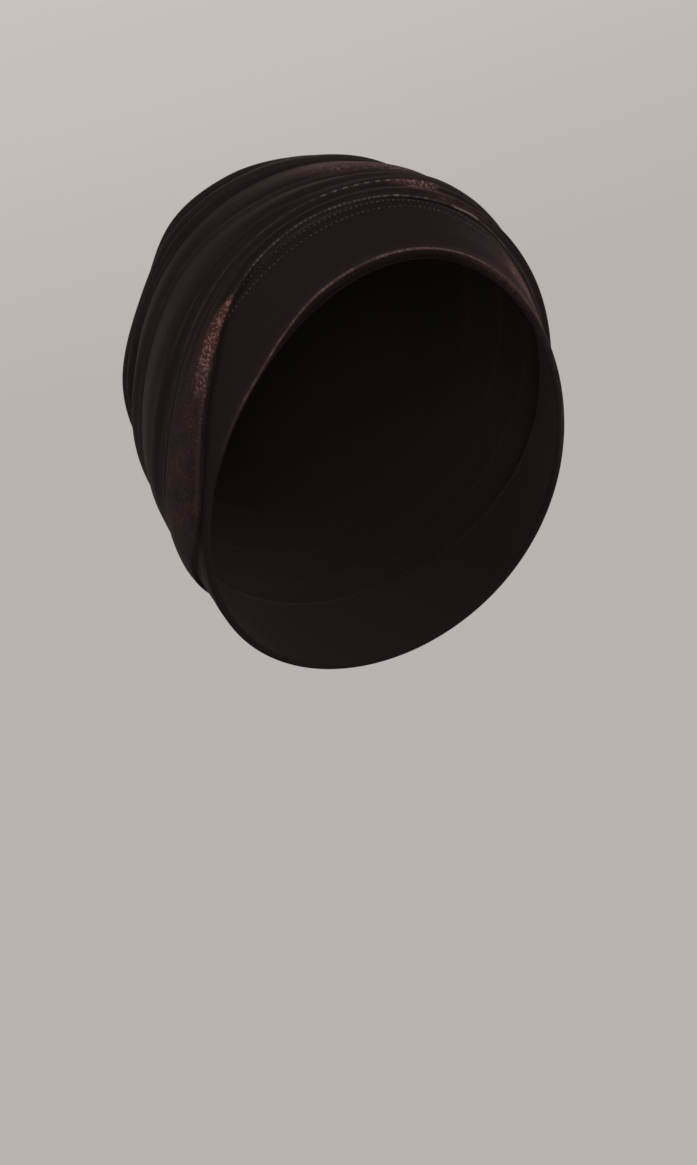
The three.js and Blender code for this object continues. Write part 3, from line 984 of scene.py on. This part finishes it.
def area_light(name, towards, distance, size, watts, color):
    """A soft square light that looks at the hat from a direction, in the camera's right, up and back."""
    right, up, back = camera_axes()
    away = (right * towards[0] + up * towards[1] + back * towards[2]).normalized()
    data = bpy.data.lights.new(name, "AREA")
    data.size = size
    data.energy = watts
    data.color = color
    light = bpy.data.objects.new(name, data)
    turned = away.to_track_quat("Z", "Y").to_matrix()
    light.matrix_world = Matrix.Translation(away * distance) @ turned.to_4x4()
    bpy.context.scene.collection.objects.link(light)


def pale_room():
    """Pale surroundings that are a little lighter upwards, and dimmer as light than to the eye."""
    world = bpy.data.worlds.new("pale_room")
    world.use_nodes = True
    nodes, links = world.node_tree.nodes, world.node_tree.links
    seen = nodes["Background"]
    cast = nodes.new("ShaderNodeBackground")
    cast.inputs["Color"].default_value = (*ROOM_LOW, 1)
    cast.inputs["Strength"].default_value = ROOM_LIGHT
    direction = nodes.new("ShaderNodeTexCoord").outputs["Generated"]
    part = nodes.new("ShaderNodeSeparateXYZ")
    links.new(direction, part.inputs[0])
    ramp = nodes.new("ShaderNodeValToRGB")
    ramp.color_ramp.elements[0].color = (*ROOM_LOW, 1)
    ramp.color_ramp.elements[0].position = ROOM_LOW_AT
    ramp.color_ramp.elements[1].color = (*ROOM_HIGH, 1)
    ramp.color_ramp.elements[1].position = ROOM_HIGH_AT
    links.new(part.outputs["Z"], ramp.inputs["Fac"])
    links.new(ramp.outputs["Color"], seen.inputs["Color"])
    mixed = nodes.new("ShaderNodeMixShader")
    links.new(nodes.new("ShaderNodeLightPath").outputs["Is Camera Ray"], mixed.inputs["Fac"])
    links.new(cast.outputs["Background"], mixed.inputs[1])
    links.new(seen.outputs["Background"], mixed.inputs[2])
    links.new(mixed.outputs["Shader"], nodes["World Output"].inputs["Surface"])
    return world


def make_stage():
    """The pale floor, the pale surroundings and the lights."""
    bpy.ops.mesh.primitive_circle_add(
        vertices=FLOOR_SIDES, radius=FLOOR_RADIUS, fill_type="NGON", location=(0, 0, -FLOOR_DROP)
    )
    floor = bpy.context.object
    floor.name = "floor"
    floor.data.materials.append(floor_paint())
    bpy.context.scene.world = pale_room()
    for row in LIGHTS:
        area_light(**dict(zip(LIGHT_COLUMNS, row)))
    bpy.context.scene.view_settings.view_transform = "Standard"


band = make_band()
band.data.materials.append(velvet("band_velvet", BAND_DARK, HEM_HIGHLIGHT, HEM_LINE_REACH, streak_light=0))
band.data.materials.append(knit_back("band_back"))
crown = make_crown()
crown.data.materials.append(velvet("crown_velvet", CROWN_DARK, FOLD_HIGHLIGHT, FOLD_LINE_REACH, STREAK_LIGHT))
crown.data.materials.append(knit_back("crown_back"))
stitches = make_stitches()
stitches.data.materials.append(thread())

for piece, node, slot in ((band, "band", "band_velvet"), (crown, "crown", "crown_velvet")):
    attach(piece, "root")
    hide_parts(node)
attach(stitches, "root")

make_stage()
make_camera()
